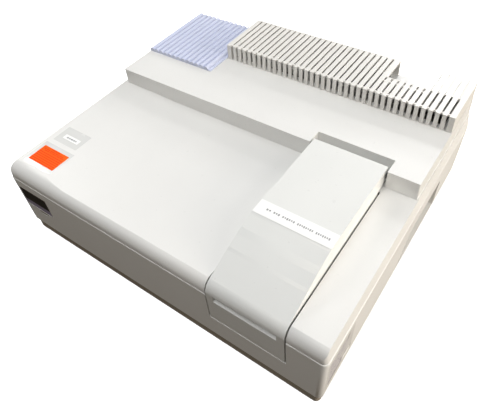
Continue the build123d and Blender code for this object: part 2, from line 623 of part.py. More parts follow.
with BuildPart() as lamp_housing:
    block((*lamp_house_low, bench_top), (*lamp_house_high, 150))
    block((lamp_house_low[0] + 2, lamp_house_low[1] + 2, bench_top + 2),
          (lamp_house_high[0] - 2, lamp_house_high[1] - 2, 151), Mode.SUBTRACT)
    rod((entrance_x, lamp_house_low[1] - 1, beam_z), (0, 1, 0), 9, 5, Mode.SUBTRACT)
    with Locations(*[(lamp_house_high[0] - 1, 166 + 16 * index, 100) for index in range(6)]):
        Box(6, 6, 60, mode=Mode.SUBTRACT)
save(lamp_housing, "lamp_housing")

with BuildPart() as lamp_bases:
    rod((deuterium_x, lamp_y, bench_top + 2), (0, 0, 1), 19, 12)
    rod((halogen_x, lamp_y, bench_top + 2), (0, 0, 1), 10, 26)
save(lamp_bases, "lamp_bases")

with BuildPart() as lamp_bulbs:
    rod((deuterium_x, lamp_y, bench_top + 14), (0, 0, 1), 14, 56)
    fillet(lamp_bulbs.faces().sort_by(Axis.Z)[-1].edges(), 9)
    rod((halogen_x, lamp_y, bench_top + 28), (0, 0, 1), 6, 24)
save(lamp_bulbs, "lamp_bulbs")

with BuildPart() as lamp_mirror:
    rod((mirror_x, mirror_y, 60), (0, 0, 1), motor_shaft_radius, 24)
    block((mirror_x - 14, mirror_y - 1.5, beam_z - 13), (mirror_x + 14, mirror_y + 1.5, beam_z + 13))
save(lamp_mirror, "lamp_mirror")

# ------------------------------------------------------------------ detectors
detector_low, detector_high = (266, -160), (310, -32)
with BuildPart() as detector_housing:
    block((*detector_low, bench_top), (*detector_high, 125))
    block((detector_low[0] + 2.5, detector_low[1] + 2.5, bench_top + 2.5),
          (detector_high[0] - 2.5, detector_high[1] - 2.5, 122.5), Mode.SUBTRACT)
    for y in (sample_y, reference_y):
        rod((detector_low[0] - 1, y, beam_z), (1, 0, 0), 8, 5, Mode.SUBTRACT)
save(detector_housing, "detector_housing")

board_x = 301.0
with BuildPart() as detectors:
    for y in (sample_y, reference_y):
        rod((274, y, beam_z), (1, 0, 0), 13, board_x - 274)
save(detectors, "detectors")

# ------------------------------------------------------------------ electronics
board_low, board_high = (-135, 138), (110, 240)
board_thickness = 1.6

with BuildPart() as circuit_boards:
    block((*board_low, board_z), (*board_high, board_z + board_thickness))
    block((board_x, detector_low[1] + 2.5, 60), (board_x + board_thickness, detector_high[1] - 2.5, 118))
save(circuit_boards, "circuit_boards")

with BuildPart() as board_components:
    with Locations((-60, 190, board_z + board_thickness)):
        with GridLocations(34, 30, 4, 3):
            Box(22, 14, 4, align=(Align.CENTER, Align.CENTER, Align.MIN))
    with Locations((70, 190, board_z + board_thickness)):
        with GridLocations(20, 22, 2, 4):
            Cylinder(7, 22, align=(Align.CENTER, Align.CENTER, Align.MIN))
    block((28, 141, board_z + board_thickness), (64, 151, board_z + board_thickness + 3))
save(board_components, "board_components")

ribbon_z = board_z + board_thickness + 3
ribbon_thickness = 1.2
ribbon_rise_y = 128.0
with BuildPart() as ribbon_cable:
    slab(
        [(149, ribbon_z + ribbon_thickness), (ribbon_rise_y, ribbon_z + ribbon_thickness), (ribbon_rise_y, 54),
         (75, 54), (75, 54 - ribbon_thickness), (ribbon_rise_y - ribbon_thickness, 54 - ribbon_thickness),
         (ribbon_rise_y - ribbon_thickness, ribbon_z), (149, ribbon_z)],
        Plane.YZ.offset(30), 32,
    )
save(ribbon_cable, "ribbon_cable")

with BuildPart() as power_supply:
    block((150, 165, tray_floor), (268, 250, 88))
    block((151.5, 166.5, tray_floor + 1.5), (266.5, 248.5, 86.5), Mode.SUBTRACT)
    with Locations((209, 207, 88)):
        with GridLocations(9, 9, 11, 7):
            Cylinder(2.6, 10, mode=Mode.SUBTRACT)
save(power_supply, "power_supply")

# ------------------------------------------------------------------ rear panel and its connectors
panel_inner_y, panel_outer_y = 275.0, 277.0
fan_x, fan_z = -80.0, 85.0
inlet_x, switch_x, connector_z = 250.0, 196.0, 84.0
inlet_half = (13.5, 10.0)
fuse_half = (10.0, 4.5)
fuse_z = connector_z - 26
port_x, accessory_x = 40.0, 110.0

with BuildPart() as rear_panel:
    block((panel_left - 8, panel_inner_y, panel_low - 8), (panel_right + 8, panel_outer_y, panel_high + 8))
    for index in range(-4, 5):
        height = index * 8
        half = (36 ** 2 - height ** 2) ** 0.5
        block((fan_x - half, panel_inner_y - 1, fan_z + height - 2.5),
              (fan_x + half, panel_outer_y + 1, fan_z + height + 2.5), Mode.SUBTRACT)
    block((inlet_x - inlet_half[0], panel_inner_y - 1, connector_z - inlet_half[1]),
          (inlet_x + inlet_half[0], panel_outer_y + 1, connector_z + inlet_half[1]), Mode.SUBTRACT)
    block((inlet_x - fuse_half[0] - 2, panel_inner_y - 1, fuse_z - fuse_half[1] - 2),
          (inlet_x + fuse_half[0] + 2, panel_outer_y + 1, fuse_z + fuse_half[1] + 2), Mode.SUBTRACT)
    block((switch_x - 8.5, panel_inner_y - 1, connector_z - 12.5),
          (switch_x + 8.5, panel_outer_y + 1, connector_z + 12.5), Mode.SUBTRACT)
save(rear_panel, "rear_panel")

with BuildPart() as fan_frame:
    block((fan_x - 40, panel_inner_y - 25, fan_z - 40), (fan_x + 40, panel_inner_y, fan_z + 40))
    rod((fan_x, panel_inner_y - 26, fan_z), (0, 1, 0), 38, 27, Mode.SUBTRACT)
    for turn in range(3):
        angle = radians(120 * turn + 30)
        with BuildSketch(Plane.XZ.offset(-panel_inner_y + 3)):
            with Locations(Location((fan_x + 20 * cos(angle), fan_z + 20 * sin(angle)), degrees(angle))):
                Rectangle(40, 4)
        extrude(amount=3)
    rod((fan_x, panel_inner_y - 6, fan_z), (0, 1, 0), 15, 3)
    rod((fan_x, panel_inner_y - 14, fan_z), (0, 1, 0), 5, 10)
    rod((fan_x, panel_inner_y - 15, fan_z), (0, 1, 0), 2 + running_fit, 11, Mode.SUBTRACT)
save(fan_frame, "fan_frame")

blade_count = 7
with BuildPart() as fan_impeller:
    rod((fan_x, panel_inner_y - 23, fan_z), (0, 1, 0), 16, 16)
    rod((fan_x, panel_inner_y - 20, fan_z), (0, 1, 0), 14, 14, Mode.SUBTRACT)
    rod((fan_x, panel_inner_y - 22, fan_z), (0, 1, 0), 2, 17)
    hub_plane = Plane(origin=(fan_x, panel_inner_y - 15, fan_z), x_dir=(1, 0, 0), z_dir=(0, 1, 0))
    with Locations(hub_plane):
        with PolarLocations(0, blade_count):
            with Locations(Location((25.6, 0, 0), (35, 0, 0))):
                Box(20.5, 17, 1.6)
save(fan_impeller, "fan_impeller")

with BuildPart() as power_inlet:
    block((inlet_x - inlet_half[0], 256, connector_z - inlet_half[1]),
          (inlet_x + inlet_half[0], panel_outer_y + 2, connector_z + inlet_half[1]))
    block((inlet_x - 25, panel_outer_y, connector_z - 12), (inlet_x + 25, panel_outer_y + 2, connector_z + 12))
    block((inlet_x - 12, 262, connector_z - 8.2), (inlet_x + 12, panel_outer_y + 3, connector_z + 8.2), Mode.SUBTRACT)
    for x, z in ((inlet_x - 7, connector_z - 2), (inlet_x, connector_z + 2), (inlet_x + 7, connector_z - 2)):
        block((x - 1, 262, z - 2), (x + 1, 274, z + 2))
    # fuse holder below the socket
    block((inlet_x - fuse_half[0] - 2, 252, fuse_z - fuse_half[1] - 2),
          (inlet_x + fuse_half[0] + 2, panel_outer_y + 1, fuse_z + fuse_half[1] + 2))
    block((inlet_x - fuse_half[0] - 0.3, 254, fuse_z - fuse_half[1] - 0.3),
          (inlet_x + fuse_half[0] + 0.3, panel_outer_y + 2, fuse_z + fuse_half[1] + 0.3), Mode.SUBTRACT)
save(power_inlet, "power_inlet")

with BuildPart() as fuse_drawer:
    block((inlet_x - fuse_half[0], 255, fuse_z - fuse_half[1]),
          (inlet_x + fuse_half[0], panel_outer_y + 2, fuse_z + fuse_half[1]))
    block((inlet_x - fuse_half[0] + 1.5, 257, fuse_z - fuse_half[1] + 1.5),
          (inlet_x + fuse_half[0] - 1.5, 274, fuse_z + fuse_half[1] + 1), Mode.SUBTRACT)
save(fuse_drawer, "fuse_drawer")

rocker_tilt = 8.0
rocker_y = 270.0
with BuildPart() as switch_frame:
    block((switch_x - 8.5, 258, connector_z - 12.5), (switch_x + 8.5, panel_outer_y, connector_z + 12.5))
    block((switch_x - 10.5, panel_outer_y, connector_z - 14.5), (switch_x + 10.5, panel_outer_y + 1, connector_z + 14.5))
    block((switch_x - 6.5, 260, connector_z - 11), (switch_x + 6.5, panel_outer_y + 2, connector_z + 11), Mode.SUBTRACT)
    rod((switch_x - 8, rocker_y, connector_z), (1, 0, 0), 1.5 + running_fit, 16, Mode.SUBTRACT)
save(switch_frame, "switch_frame")

rocker_tilted = Plane(
    origin=(switch_x - 6.1, rocker_y, connector_z),
    x_dir=(0, cos(radians(rocker_tilt)), sin(radians(rocker_tilt))), z_dir=(1, 0, 0),
)
with BuildPart() as power_switch:
    slab([(0, -9.5), (8.6, -9.5), (7.2, 0), (8.6, 9.5), (0, 9.5), (-4, 0)], rocker_tilted, 12.2)
    rod((switch_x - 7.8, rocker_y, connector_z), (1, 0, 0), 1.5, 15.6)
save(power_switch, "power_switch")

with BuildPart() as interface_ports:
    block((port_x - 16, panel_outer_y, connector_z - 6.5), (port_x + 16, panel_outer_y + 1, connector_z + 6.5))
    slab([(-9, -4), (9, -4), (10, 4), (-10, 4)],
         Plane(origin=(port_x, panel_outer_y + 1, connector_z), x_dir=(1, 0, 0), z_dir=(0, 1, 0)), 1.8)
    rod((accessory_x, panel_outer_y, connector_z), (0, 1, 0), 10, 1.5)
    rod((accessory_x, panel_outer_y + 1, connector_z), (0, 1, 0), 7, 1.8)
save(interface_ports, "interface_ports")

# ------------------------------------------------------------------ badges and labels
with BuildPart() as front_badge:
    block((-320.5, badge_face_y + 0.2, 90), (-246.5, badge_face_y + badge_recess, 120.5))
save(front_badge, "front_badge")

with BuildPart() as badge_band:
    block((-320.5, badge_face_y + 0.2, 76.5), (-246.5, badge_face_y + badge_recess, 90))
save(badge_band, "badge_band")

with BuildPart() as status_window:
    block((-287.5, badge_face_y + 0.2, 68.5), (-262.5, badge_face_y + badge_recess, 71.5))
save(status_window, "status_window")

film = 0.2
plate_z = 85.0
side_slope = (seam_right - housing_low_sides[1]) / (seam_z - edge_break - tray_top)
side_lean = atan(side_slope)
side_x = housing_low_sides[1] + (plate_z - tray_top) * side_slope
with BuildPart() as labels:
    block((-319, -251, border_z), (-247, -192, border_z + 2 * film))
    block((-319, -182, border_z), (-257, -143, border_z + 2 * film))
    with BuildSketch(Plane(origin=(side_x, -232, plate_z), x_dir=(0, 1, 0), z_dir=(cos(side_lean), 0, -sin(side_lean)))):
        Rectangle(78, 84)
    extrude(amount=film)
save(labels, "labels")
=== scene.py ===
import math

import bmesh
import bpy
from mathutils import Euler, Matrix, Vector


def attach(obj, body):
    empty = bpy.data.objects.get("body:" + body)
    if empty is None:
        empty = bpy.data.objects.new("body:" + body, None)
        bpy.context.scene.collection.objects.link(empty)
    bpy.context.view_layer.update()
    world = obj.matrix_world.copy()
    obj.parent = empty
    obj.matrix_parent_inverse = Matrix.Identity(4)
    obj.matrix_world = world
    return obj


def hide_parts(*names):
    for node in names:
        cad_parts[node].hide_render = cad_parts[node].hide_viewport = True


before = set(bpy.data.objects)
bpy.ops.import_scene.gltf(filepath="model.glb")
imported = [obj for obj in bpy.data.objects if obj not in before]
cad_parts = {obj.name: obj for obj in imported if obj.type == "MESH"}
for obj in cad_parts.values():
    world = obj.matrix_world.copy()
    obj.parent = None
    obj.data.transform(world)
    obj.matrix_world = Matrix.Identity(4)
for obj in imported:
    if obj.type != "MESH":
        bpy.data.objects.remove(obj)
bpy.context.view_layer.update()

MM = 0.001
scene = bpy.context.scene
scene.view_settings.view_transform = "Standard"


# ------------------------------------------------------------------ camera
CAMERA_TARGET = Vector((0.0259, -0.0246, 0.110))
CAMERA_AZIMUTH, CAMERA_ELEVATION, CAMERA_ROLL = 38.34, 45.65, -5.11     # degrees
CAMERA_DISTANCE = 0.921
CAMERA_LENS, CAMERA_SENSOR = 37.13, 36                                  # millimetres
CAMERA_SHIFT = (-0.0197, -0.0606)
CAMERA_CLIP = (0.05, 50)


def direction(azimuth, elevation):
    """Unit vector from the object; azimuth 0 is in front of it and 90 to its right, in degrees."""
    turn, lift = math.radians(azimuth), math.radians(elevation)
    return Vector((math.sin(turn) * math.cos(lift), -math.cos(turn) * math.cos(lift), math.sin(lift)))


def make_camera():
    """Camera at the photograph's viewing angle, close to the object."""
    back = direction(CAMERA_AZIMUTH, CAMERA_ELEVATION)
    data = bpy.data.cameras.new("camera")
    data.lens = CAMERA_LENS
    data.sensor_width = CAMERA_SENSOR
    data.shift_x, data.shift_y = CAMERA_SHIFT
    data.clip_start, data.clip_end = CAMERA_CLIP
    camera = bpy.data.objects.new("camera", data)
    scene.collection.objects.link(camera)
    camera.rotation_mode = "QUATERNION"
    camera.location = CAMERA_TARGET + back * CAMERA_DISTANCE
    roll = Euler((0, 0, math.radians(CAMERA_ROLL))).to_quaternion()
    camera.rotation_quaternion = (-back).to_track_quat("-Z", "Y") @ roll
    scene.camera = camera


# ------------------------------------------------------------------ studio
FLOOR_HALF = 20.0                      # metres, as the other studio sizes
WALL_RADIUS, WALL_HEIGHT, WALL_SIDES = 15, 12, 48
PAPER_GLOW = 0.75
LIGHT_AIM = Vector((0, 0, 0.15))
SKY_LOW, SKY_HIGH = (0.105, 0.083, 0.058, 1), (0.462, 0.485, 0.502, 1)
SKY_LOW_END, SKY_HIGH_START = 0.74, 0.88      # 0 is straight down and 1 straight up
WARM, WARMER, NEARLY_WHITE, WHITE = (1.0, 0.97, 0.92), (1.0, 0.93, 0.84), (1.0, 0.99, 0.97), (1, 1, 1)
SOFT_BOXES = (
    # name, azimuth, elevation, distance, size, power, colour
    ("right_light", 97, 33, 2.2, 0.55, 6.5, WARM),
    ("low_right_light", 100, 6, 2.2, 1.2, 46, WARMER),
    ("left_light", -92, 42, 2.2, 0.6, 12, NEARLY_WHITE),
    ("rear_light", 178, 33, 2.2, 0.3, 9, WHITE),
    ("low_rear_light", 184, 21, 2.2, 0.3, 12, WHITE),
    ("front_top_light", 0, 66, 2.0, 0.9, 13, WHITE),
)


def soft_box(name, azimuth, elevation, distance, size, power, colour):
    """Area light aimed at the object."""
    way = direction(azimuth, elevation)
    data = bpy.data.lights.new(name, "AREA")
    data.shape = "SQUARE"
    data.size = size
    data.energy = power
    data.color = colour
    light = bpy.data.objects.new(name, data)
    scene.collection.objects.link(light)
    light.location = LIGHT_AIM + way * distance
    light.rotation_mode = "QUATERNION"
    light.rotation_quaternion = (-way).to_track_quat("-Z", "Y")


def paper_material():
    """Pale paper that glows a little, so that it stays white under dim light."""
    paper, nodes, links, shader = new_material("paper_backdrop")
    grain = noise(nodes, links, 400, 3)
    mix_colours(nodes, links, grain, (0.93, 0.93, 0.93), (0.97, 0.97, 0.97), shader.inputs["Base Color"])
    shader.inputs["Roughness"].default_value = 0.9
    shader.inputs["Emission Color"].default_value = (1, 1, 1, 1)
    shader.inputs["Emission Strength"].default_value = PAPER_GLOW
    return paper


def stage_piece(name, points, faces, paper, casts_shadow):
    """Part of the backdrop, which the object neither reflects nor takes light from."""
    mesh = bpy.data.meshes.new(name)
    mesh.from_pydata(points, [], faces)
    mesh.materials.append(paper)
    piece = bpy.data.objects.new(name, mesh)
    scene.collection.objects.link(piece)
    piece.visible_diffuse = False
    piece.visible_glossy = False
    piece.visible_shadow = casts_shadow


def make_backdrop():
    """Pale floor, and a round pale wall far behind it for the low views."""
    paper = paper_material()
    half = FLOOR_HALF
    square = [(-half, -half, 0), (half, -half, 0), (half, half, 0), (-half, half, 0)]
    stage_piece("floor", square, [(0, 1, 2, 3)], paper, True)
    ring = []
    for step in range(WALL_SIDES):
        angle = math.tau * step / WALL_SIDES
        ring.append((WALL_RADIUS * math.cos(angle), WALL_RADIUS * math.sin(angle)))
    points = [(x, y, z) for z in (0, WALL_HEIGHT) for x, y in ring]
    faces = []
    for first in range(WALL_SIDES):
        second = (first + 1) % WALL_SIDES
        faces.append((first, second, WALL_SIDES + second, WALL_SIDES + first))
    stage_piece("backdrop", points, faces, paper, False)


def make_sky():
    """Sky that is bright overhead and dim and brown low down, like a room."""
    world = bpy.data.worlds.new("studio")
    scene.world = world
    world.use_nodes = True
    nodes, links = world.node_tree.nodes, world.node_tree.links
    background = nodes["Background"]
    coordinates = nodes.new("ShaderNodeTexCoord")
    split = nodes.new("ShaderNodeSeparateXYZ")
    height = nodes.new("ShaderNodeMapRange")
    height.inputs["From Min"].default_value = -1
    ramp = nodes.new("ShaderNodeValToRGB")
    low_stop, high_stop = ramp.color_ramp.elements
    low_stop.position = SKY_LOW_END
    low_stop.color = SKY_LOW
    high_stop.position = SKY_HIGH_START
    high_stop.color = SKY_HIGH
    links.new(coordinates.outputs["Generated"], split.inputs[0])
    links.new(split.outputs["Z"], height.inputs["Value"])
    links.new(height.outputs["Result"], ramp.inputs["Fac"])
    links.new(ramp.outputs["Color"], background.inputs["Color"])
    background.inputs["Strength"].default_value = 1.0


def make_studio():
    """Backdrop, sky and soft boxes."""
    make_backdrop()
    make_sky()
    for values in SOFT_BOXES:
        soft_box(*values)


# ------------------------------------------------------------------ material helpers
MOTTLE_SCALE, MOTTLE_RANGE = 9, (0.35, 0.65)          # waves per metre, noise range that it spans
SPECK_SCALE, SPECK_RANGE, SPECK_SHADE = 150, (0.735, 0.76), 0.55
SMUDGE_SCALE, SMUDGE_RANGE, SMUDGE_CHANGE = 30, (0.3, 0.7), (-0.05, 0.06)
GRAIN_STRENGTH = 0.35


def new_material(name):
    """Empty material with a Principled shader; returns it, its nodes, its links and the shader."""
    material = bpy.data.materials.new(name)
    material.use_nodes = True
    nodes, links = material.node_tree.nodes, material.node_tree.links
    nodes.clear()
    output = nodes.new("ShaderNodeOutputMaterial")
    shader = nodes.new("ShaderNodeBsdfPrincipled")
    links.new(shader.outputs["BSDF"], output.inputs["Surface"])
    return material, nodes, links, shader


def shade(colour, factor):
    """Colour made darker or lighter, no channel above 1."""
    return tuple(min(1.0, channel * factor) for channel in colour)


def noise(nodes, links, scale, detail=2.0, stretch=(1, 1, 1)):
    """Noise factor in the object's own coordinates; scale is in waves per metre."""
    coordinates = nodes.new("ShaderNodeTexCoord")
    mapping = nodes.new("ShaderNodeMapping")
    mapping.inputs["Scale"].default_value = stretch
    texture = nodes.new("ShaderNodeTexNoise")
    texture.inputs["Scale"].default_value = scale
    texture.inputs["Detail"].default_value = detail
    links.new(coordinates.outputs["Object"], mapping.inputs["Vector"])
    links.new(mapping.outputs["Vector"], texture.inputs["Vector"])
    return texture.outputs["Fac"]


def remap(nodes, links, value, low, high, out_low=0.0, out_high=1.0):
    """Map a factor from one range to another, clamped."""
    node = nodes.new("ShaderNodeMapRange")
    node.inputs["From Min"].default_value = low
    node.inputs["From Max"].default_value = high
    node.inputs["To Min"].default_value = out_low
    node.inputs["To Max"].default_value = out_high
    links.new(value, node.inputs["Value"])
    return node.outputs["Result"]


def mix_colours(nodes, links, factor, first, second, target=None):
    """Mix two colours (tuples or sockets) by a factor, into a target socket if given."""
    node = nodes.new("ShaderNodeMix")
    node.data_type = "RGBA"
    links.new(factor, node.inputs["Factor"])
    for name, colour in (("A", first), ("B", second)):
        socket = [s for s in node.inputs if s.name == name and s.type == "RGBA"][0]
        if isinstance(colour, tuple):
            socket.default_value = (*colour[:3], 1)
        else:
            links.new(colour, socket)
    result = [s for s in node.outputs if s.type == "RGBA"][0]
    if target:
        links.new(result, target)
    return result


def bump(nodes, links, shader, height, strength, distance):
    """Raise the surface's shading by a height factor."""
    node = nodes.new("ShaderNodeBump")
    node.inputs["Strength"].default_value = strength
    node.inputs["Distance"].default_value = distance
    links.new(height, node.inputs["Height"])
    links.new(node.outputs["Normal"], shader.inputs["Normal"])


def moulded(name, colour, roughness=0.45, grain=2600, depth=0.00006, mottle=0.03, specks=0.0, coat=0.0,
            specular=0.5):
    """Moulded plastic: faint colour mottling, fine spark-eroded grain and a few specks of dirt."""
    material, nodes, links, shader = new_material(name)
    cloud = remap(nodes, links, noise(nodes, links, MOTTLE_SCALE, 3), *MOTTLE_RANGE)
    tint = mix_colours(nodes, links, cloud, shade(colour, 1 - mottle), shade(colour, 1 + mottle))
    if specks:
        spots = remap(nodes, links, noise(nodes, links, SPECK_SCALE, 1), *SPECK_RANGE, 0, specks)
        tint = mix_colours(nodes, links, spots, tint, shade(colour, SPECK_SHADE))
    links.new(tint, shader.inputs["Base Color"])
    fine = noise(nodes, links, grain, 2)
    smudge = noise(nodes, links, SMUDGE_SCALE, 3)
    smoothest, roughest = roughness + SMUDGE_CHANGE[0], roughness + SMUDGE_CHANGE[1]
    rough = remap(nodes, links, smudge, *SMUDGE_RANGE, smoothest, roughest)
    links.new(rough, shader.inputs["Roughness"])
    bump(nodes, links, shader, fine, GRAIN_STRENGTH, depth)
    shader.inputs["Coat Weight"].default_value = coat
    shader.inputs["Specular IOR Level"].default_value = specular
    return material


def painted(name, colour, roughness=0.5, grain=900, depth=0.0002):
    """Textured paint on metal."""
    return moulded(name, colour, roughness, grain, depth, mottle=0.06)


def rubber(name, colour=(0.025, 0.025, 0.027)):
    """Matt black rubber; also the black strip in the lid gap, which is painted shade there."""
    return moulded(name, colour, roughness=0.8, grain=1200, depth=0.0002, mottle=0.15)


def brushed(name, colour, roughness=0.3, stretch=(1, 60, 60), metallic=1.0):
    """Metal with fine machining lines along one axis."""
    material, nodes, links, shader = new_material(name)
    lines = noise(nodes, links, 120, 3, stretch)
    mix_colours(nodes, links, lines, shade(colour, 0.85), shade(colour, 1.1), shader.inputs["Base Color"])
    rough = remap(nodes, links, lines, 0.3, 0.7, roughness - 0.08, roughness + 0.12)
    links.new(rough, shader.inputs["Roughness"])
    shader.inputs["Metallic"].default_value = metallic
    bump(nodes, links, shader, lines, strength=0.15, distance=0.0001)
    return material


def clear(name, colour, roughness=0.03, ior=1.46):
    """Clear glass or quartz, with slight surface waviness."""
    material, nodes, links, shader = new_material(name)
    wave = noise(nodes, links, 60, 2)
    mix_colours(nodes, links, wave, colour, shade(colour, 1.03), shader.inputs["Base Color"])
    shader.inputs["Roughness"].default_value = roughness
    shader.inputs["IOR"].default_value = ior
    shader.inputs["Transmission Weight"].default_value = 1.0
    bump(nodes, links, shader, wave, strength=0.05, distance=0.0001)
    return material


def mirror_coat(name):
    """Front-coated mirror with a faint haze."""
    material, nodes, links, shader = new_material(name)
    haze = noise(nodes, links, 80, 3)
    mix_colours(nodes, links, haze, (0.86, 0.87, 0.90), (0.95, 0.95, 0.96), shader.inputs["Base Color"])
    rough = remap(nodes, links, haze, 0.4, 0.7, 0.02, 0.09)
    links.new(rough, shader.inputs["Roughness"])
    shader.inputs["Metallic"].default_value = 1.0
    return material


def board(name):
    """Green solder mask with pale traces."""
    material, nodes, links, shader = new_material(name)
    coordinates = nodes.new("ShaderNodeTexCoord")
    bricks = nodes.new("ShaderNodeTexBrick")
    bricks.inputs["Scale"].default_value = 90
    bricks.inputs["Color1"].default_value = (0.01, 0.13, 0.045, 1)
    bricks.inputs["Color2"].default_value = (0.012, 0.16, 0.055, 1)
    bricks.inputs["Mortar"].default_value = (0.02, 0.24, 0.08, 1)
    bricks.inputs["Mortar Size"].default_value = 0.04
    links.new(coordinates.outputs["Object"], bricks.inputs["Vector"])
    links.new(bricks.outputs["Color"], shader.inputs["Base Color"])
    shader.inputs["Roughness"].default_value = 0.3
    return material


# ------------------------------------------------------------------ materials of the CAD nodes
MATERIALS = {
    "cover": moulded("cover_plastic", (0.80, 0.795, 0.775), 0.42, mottle=0.01, specks=0.1),
    "lid": moulded("lid_plastic", (0.775, 0.78, 0.76), 0.5, 2200, 0.0001, mottle=0.012, specks=0.12),
    "grille": moulded("grille_plastic", (0.775, 0.76, 0.725), 0.42, mottle=0.015),
    "blue": moulded("blue_plastic", (0.60, 0.635, 0.79), 0.35, mottle=0.02, coat=0.1),
    "tray": painted("tray_paint", (0.33, 0.29, 0.235), 0.6),
    "black": moulded("black_plastic", (0.018, 0.018, 0.019), 0.5, mottle=0.2),
    "gloss": moulded("black_gloss", (0.010, 0.010, 0.009), 0.35, mottle=0.2, specular=0.06),
    "violet": moulded("badge_violet", (0.30, 0.27, 0.36), 0.5, mottle=0.05, specular=0.1),
    "window": moulded("status_window", (0.10, 0.095, 0.03), 0.4, mottle=0.2, specular=0.1),
    "rubber": rubber("rubber"),
    "label": moulded("label_stock", (0.90, 0.90, 0.885), 0.35, 4000, 0.00003, mottle=0.01),
    "anodised": brushed("black_anodised", (0.035, 0.035, 0.038), 0.42, (30, 1, 30), 0.7),
    "aluminium": brushed("bench_aluminium", (0.60, 0.61, 0.63), 0.38, (60, 1, 1)),
    "steel": brushed("steel", (0.55, 0.55, 0.56), 0.28, (1, 1, 40)),
    "panel": painted("panel_metal", (0.48, 0.48, 0.455), 0.5, 1400, 0.0001),
    "bronze": brushed("bronze", (0.52, 0.36, 0.19), 0.4, (1, 1, 1)),
    "quartz": clear("quartz", (0.95, 0.97, 0.98)),
    "filter": clear("filter_glass", (0.65, 0.35, 0.12), 0.05, 1.52),
    "mirror": mirror_coat("mirror_coating"),
    "ceramic": moulded("ceramic", (0.78, 0.75, 0.68), 0.3, mottle=0.04, coat=0.5),
    "board": board("board_green"),
    "component": moulded("component_black", (0.04, 0.04, 0.042), 0.45, mottle=0.1),
    "ribbon": moulded("ribbon_grey", (0.42, 0.42, 0.45), 0.5, mottle=0.05),
}
NODE_MATERIALS = {
    "cover": ["top_cover", "lower_housing"],
    "lid": ["lid_shell"],
    "grille": ["vent_grille"],
    "blue": ["lamp_cover"],
    "tray": ["base_tray"],
    "black": ["sample_tub", "lid_liner", "hinge_bushes", "power_inlet", "switch_frame", "fuse_drawer",
              "fan_frame", "fan_impeller", "stepper_actuator"],
    "gloss": ["power_switch", "front_badge"],
    "violet": ["badge_band"],
    "window": ["status_window"],
    # lid_seal is a black strip set in the lid gap so that the gap reads dark: painted shade
    "rubber": ["rubber_feet", "bench_isolators", "lid_seal"],
    "label": ["labels", "lid_label"],
    "anodised": ["cell_holder_base", "sample_cell_holder", "reference_cell_holder", "monochromator_housing",
                 "monochromator_cover", "slit_plates", "chopper_wheel", "filter_wheel", "lamp_housing",
                 "detector_housing"],
    "aluminium": ["optical_bench", "mirror_mounts", "motor_brackets", "grating_mount"],
    "steel": ["housing_screws", "lid_hinge_pins", "push_rod", "holder_thumbscrews", "interface_ports",
              "optics_motors"],
    "panel": ["rear_panel", "power_supply"],
    "bronze": ["grating_bearing"],
    "quartz": ["quartz_windows", "sample_cell", "reference_cell", "lamp_bulbs"],
    "filter": ["optical_filters"],
    "mirror": ["optical_mirrors", "diffraction_grating", "lamp_mirror"],
    "ceramic": ["lamp_bases"],
    "board": ["circuit_boards"],
    "component": ["board_components", "detectors"],
    "ribbon": ["ribbon_cable"],
}
EDGE_WIDTHS = {"top_cover": 0.0005, "lower_housing": 0.0004, "lid_shell": 0.0006, "vent_grille": 0.0004,
               "base_tray": 0.001}                    # metres
EDGE_SEGMENTS, EDGE_ANGLE, WELD_DISTANCE = 2, 35, 0.00002


def dress_nodes():
    """Give every CAD node its material."""
    for key, names in NODE_MATERIALS.items():
        for name in names:
            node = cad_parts[name]
            if not node.material_slots:
                node.data.materials.append(MATERIALS[key])
            for material_slot in node.material_slots:
                material_slot.material = MATERIALS[key]


def round_edges(name, width):
    """Soften a CAD node's edges with modifiers; its own mesh stays as it is."""
    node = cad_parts[name]
    weld = node.modifiers.new("weld", "WELD")
    weld.merge_threshold = WELD_DISTANCE
    bevel = node.modifiers.new("bevel", "BEVEL")
    bevel.width = width
    bevel.segments = EDGE_SEGMENTS
    bevel.limit_method = "ANGLE"
    bevel.angle_limit = math.radians(EDGE_ANGLE)
    bevel.harden_normals = False
    bevel.use_clamp_overlap = True


# ------------------------------------------------------------------ printed labels, in millimetres
CORNER, CORNER_SHARE, CORNER_STEPS = 1.2, 0.25, 3

DECK_TOP = 167.6
FILM_TOP, PAPER_TOP, INK_TOP = DECK_TOP + 0.15, DECK_TOP + 0.3, DECK_TOP + 0.36
DECK_FILMS = ((-319, -252, -241, -194), (-313, -184, -250, -143.5))       # x0, y0, x1, y1
ORANGE_FIELD = (-311.5, -243, -245, -203)
WHITE_FIELD = (-300.5, -172, -260, -161)
STRIPE_LEFT, STRIPE_RIGHT, STRIPE_HEIGHT = -310.5, -246.5, 1.6
STRIPE_STARTS = (-241.5, -237, -232.5, -228, -223.5, -219)
ORANGE_ROWS = (                                                           # x, y, widths, gap
    (-287, -206.6, (11, 7), 2),
    (-306, -210.4, (5, 9, 13, 8, 10), 1.6),
    (-302, -213.8, (12, 6, 11, 7, 9), 1.6),
)
ORANGE_ROW_HEIGHT = 1.7
WHITE_ROW = (-293, -168.6, (5, 3.5, 6, 4.5, 3))
WHITE_ROW_HEIGHT, WHITE_ROW_GAP = 3.2, 1.1

PLATE_MIDDLE = Vector((0.32307, -0.232, 0.085))       # metres, on the housing's right side
WALL_RUN, WALL_RISE = 4.0, 114.0                      # how far that side leans in over its height
PLATE_FIELD = (-39, -42, 39, 42)
PLATE_BLANK = (12, -38, 34, -22)
PLATE_LEFT, PLATE_ROW_HEIGHT, PLATE_ROW_GAP = -33, 1.5, 3
PLATE_PAPER, PLATE_INK = 0.15, 0.2
PLATE_ROWS = (                                                            # y, widths
    (34, (9, 14)), (28, (30, 8, 12)), (22, (16, 9, 20)), (15, (24, 26)), (9, (12, 16, 9)),
    (2, (22, 12, 14)), (-4, (10, 18)), (-11, (26, 9)), (-18, (14, 20, 9)), (-25, (30, 14)),
    (-32, (12, 9, 16)),
)

